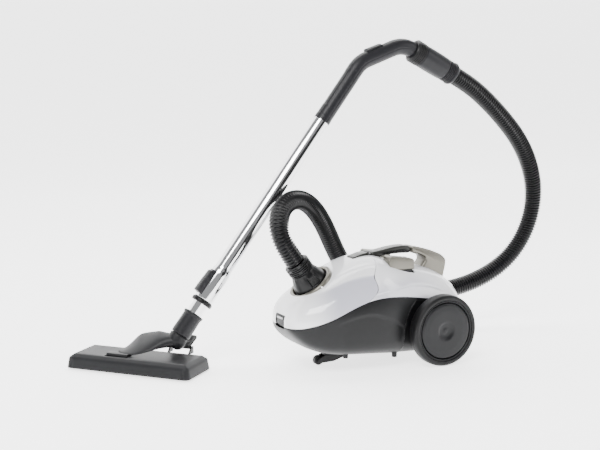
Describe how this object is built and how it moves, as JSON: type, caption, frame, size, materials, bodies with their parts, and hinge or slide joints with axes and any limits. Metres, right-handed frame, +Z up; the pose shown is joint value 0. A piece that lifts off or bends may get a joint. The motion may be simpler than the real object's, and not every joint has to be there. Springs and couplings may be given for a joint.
{
  "type": "canister vacuum cleaner",
  "caption": "Canister vacuum cleaner with hinged dust lid, carry handle, corrugated hose, bent handle, telescopic wand and swivelling floor head.",
  "frame": {"origin": "centre of the floor rectangle under everything but the hose, on the floor", "axes": "+Z up, the canister's nose points to -X, its near side faces -Y, the wand stands beside it towards +Y"},
  "size_m": [1.0913, 0.3819, 0.6513],
  "materials": {
    "white_shell": "high gloss moulded plastic",
    "charcoal_shell": "satin moulded plastic",
    "champagne": "metallic satin plastic",
    "grip_black": "ribbed soft plastic",
    "strap_grey": "satin plastic",
    "black_plastic": "fine grained plastic",
    "hose_black": "satin corrugated plastic",
    "handle_black": "satin plastic",
    "head_dark": "fine grained satin plastic",
    "chrome_tube": "polished",
    "wheel_dark": "satin plastic",
    "tyre_rubber": "soft rubber",
    "steel": "plain steel",
    "motor_metal": "cast and pressed",
    "inner_grey": "moulded plastic",
    "seal_rubber": "soft rubber",
    "bag_paper": "filter paper",
    "filter_foam": "open foam",
    "brush_hair": "bristle",
    "lint_felt": "short pile"
  },
  "bodies": {
    "canister": {"lower_housing": "charcoal_shell", "rear_cover": "white_shell", "lid_hinge_pin": "steel", "carry_handle": "champagne", "handle_grip": "grip_black", "wheel_axles": "steel", "housing_screws": "steel", "bulkhead": "inner_grey", "motor_filter": "filter_foam", "motor_housing": "motor_metal", "motor_mounts": "seal_rubber", "circuit_board": "inner_grey", "dust_bag": "bag_paper", "bag_holder": "inner_grey", "exhaust_filter": "filter_foam", "exhaust_grille": "black_plastic", "cord_outlet": "black_plastic", "neck_socket": "handle_black", "inner_tube": "chrome_tube", "hose_front": "hose_black", "hose_rear": "hose_black"},
    "lid": {"dust_lid": "white_shell", "inlet_ring": "champagne", "inlet_socket": "black_plastic", "inlet_seal": "seal_rubber", "lid_hinge_strap": "strap_grey"},
    "latch": {"lid_latch": "black_plastic"},
    "cuff": {"hose_cuff": "black_plastic", "cuff_sleeve": "hose_black"},
    "cuff_button_near": {"cuff_button_near": "black_plastic"},
    "cuff_button_far": {"cuff_button_far": "black_plastic"},
    "cord_pedal": {"cord_pedal": "champagne"},
    "power_pedal": {"power_pedal": "champagne"},
    "rear_wheel_near": {"tyre_near": "tyre_rubber", "wheel_near": "wheel_dark", "hub_cap_near": "wheel_dark"},
    "rear_wheel_far": {"tyre_far": "tyre_rubber", "wheel_far": "wheel_dark", "hub_cap_far": "wheel_dark"},
    "caster": {"caster_fork": "black_plastic"},
    "caster_roller": {"caster_wheel": "black_plastic"},
    "motor": {"motor_rotor": "steel", "fan": "motor_metal"},
    "reel": {"cord_reel": "inner_grey"},
    "brake": {"reel_brake": "inner_grey"},
    "wand": {"outer_tube": "chrome_tube", "tube_bush": "black_plastic", "bent_handle": "handle_black"},
    "tube_lock": {"tube_lock": "black_plastic"},
    "suction_slider": {"suction_slider": "black_plastic"},
    "hose_end": {"swivel_collar": "black_plastic", "hose_end_barrel": "handle_black"},
    "neck": {"neck_elbow": "head_dark"},
    "floor_head": {"head_shell": "head_dark", "neck_pivot_pin": "steel", "sole_plate": "head_dark", "lint_strips": "lint_felt"},
    "head_pedal": {"head_pedal": "head_dark"},
    "brushes": {"brush_strips": "brush_hair"},
    "head_rollers": {"head_rollers": "wheel_dark"}
  },
  "joints": [
    {"name": "lid_hinge", "type": "hinge", "parent": "canister", "child": "lid", "pos_m": [0.1433, -0.063, 0.2196], "axis": [0, 1, 0], "range_deg": [0, 50], "deforming": ["hose_front"]},
    {"name": "latch_pull", "type": "hinge", "parent": "lid", "child": "latch", "pos_m": [-0.0484, -0.063, 0.1085], "axis": [0, 1, 0], "range_deg": [0, 12], "stiffness_Nm_per_rad": 0.15},
    {"name": "cuff_swivel", "type": "hinge", "parent": "lid", "child": "cuff", "pos_m": [0.0173, -0.063, 0.167], "axis": [-0.6, 0, 0.8], "continuous": true, "deforming": ["hose_front"]},
    {"name": "cuff_button_near_press", "type": "slide", "parent": "cuff", "child": "cuff_button_near", "axis": [0, 1, 0], "range_m": [0, 0.0015], "stiffness_N_per_m": 400},
    {"name": "cuff_button_far_press", "type": "slide", "parent": "cuff", "child": "cuff_button_far", "axis": [0, -1, 0], "range_m": [0, 0.0015], "stiffness_N_per_m": 400},
    {"name": "cord_pedal_press", "type": "slide", "parent": "canister", "child": "cord_pedal", "axis": [0, 0, -1], "range_m": [0, 0.004], "stiffness_N_per_m": 900, "springref_m": -0.002},
    {"name": "power_pedal_press", "type": "slide", "parent": "canister", "child": "power_pedal", "axis": [0, 0, -1], "range_m": [0, 0.004], "stiffness_N_per_m": 900, "springref_m": -0.002},
    {"name": "rear_wheel_near_spin", "type": "hinge", "parent": "canister", "child": "rear_wheel_near", "pos_m": [0.2543, -0.178, 0.072], "axis": [0, 1, 0], "continuous": true},
    {"name": "rear_wheel_far_spin", "type": "hinge", "parent": "canister", "child": "rear_wheel_far", "pos_m": [0.2543, 0.052, 0.072], "axis": [0, 1, 0], "continuous": true},
    {"name": "caster_swivel", "type": "hinge", "parent": "canister", "child": "caster", "pos_m": [0.0513, -0.063, 0.024], "axis": [0, 0, 1], "continuous": true},
    {"name": "caster_spin", "type": "hinge", "parent": "caster", "child": "caster_roller", "pos_m": [0.0333, -0.063, 0.0095], "axis": [0, 1, 0], "continuous": true},
    {"name": "motor_spin", "type": "hinge", "parent": "canister", "child": "motor", "pos_m": [0.2073, -0.029, 0.092], "axis": [1, 0, 0], "continuous": true},
    {"name": "reel_spin", "type": "hinge", "parent": "canister", "child": "reel", "pos_m": [0.2433, -0.121, 0.086], "axis": [0, 1, 0], "continuous": true},
    {"name": "brake_lift", "type": "hinge", "parent": "canister", "child": "brake", "pos_m": [0.1993, -0.121, 0.15], "axis": [0, -1, 0], "range_deg": [0, 14]},
    {"name": "wand_extend", "type": "slide", "parent": "canister", "child": "wand", "axis": [0.6032, 0, 0.7976], "range_m": [0, 0.34], "deforming": ["hose_rear"]},
    {"name": "tube_lock_slide", "type": "slide", "parent": "wand", "child": "tube_lock", "axis": [-0.6032, 0, -0.7976], "range_m": [0, 0.006], "stiffness_N_per_m": 300, "springref_m": -0.002},
    {"name": "suction_slide", "type": "slide", "parent": "wand", "child": "suction_slider", "axis": [0.9367, 0, 0.3501], "range_m": [0, 0.01]},
    {"name": "hose_end_swivel", "type": "hinge", "parent": "wand", "child": "hose_end", "pos_m": [0.3138, 0.037, 0.6247], "axis": [0.8949, 0, -0.4462], "continuous": true, "deforming": ["hose_rear"]},
    {"name": "neck_swivel", "type": "hinge", "parent": "canister", "child": "neck", "pos_m": [-0.2222, 0.037, 0.066], "axis": [0.6032, 0, 0.7976], "range_deg": [-60, 60]},
    {"name": "neck_tilt", "type": "hinge", "parent": "neck", "child": "floor_head", "pos_m": [-0.31849, 0.04554, 0.023], "axis": [-0.673, 0.7396, 0], "range_deg": [0, 44]},
    {"name": "head_pedal_rock", "type": "hinge", "parent": "floor_head", "child": "head_pedal", "pos_m": [-0.21268, 0.05258, 0.038], "axis": [-0.673, 0.7396, 0], "range_deg": [0, 10.3]},
    {"name": "brush_lift", "type": "slide", "parent": "floor_head", "child": "brushes", "axis": [0, 0, 1], "range_m": [0, 0.0024]},
    {"name": "head_roller_spin", "type": "hinge", "parent": "floor_head", "child": "head_rollers", "pos_m": [-0.28003, 0.08054, 0.006], "axis": [0.673, -0.7396, 0], "continuous": true}
  ],
  "couplings": [
    {"joint": "brake_lift", "follows": "cord_pedal_press", "rad_per_m": 60},
    {"joint": "head_pedal_rock", "follows": "brush_lift", "rad_per_m": 72.46}
  ]
}
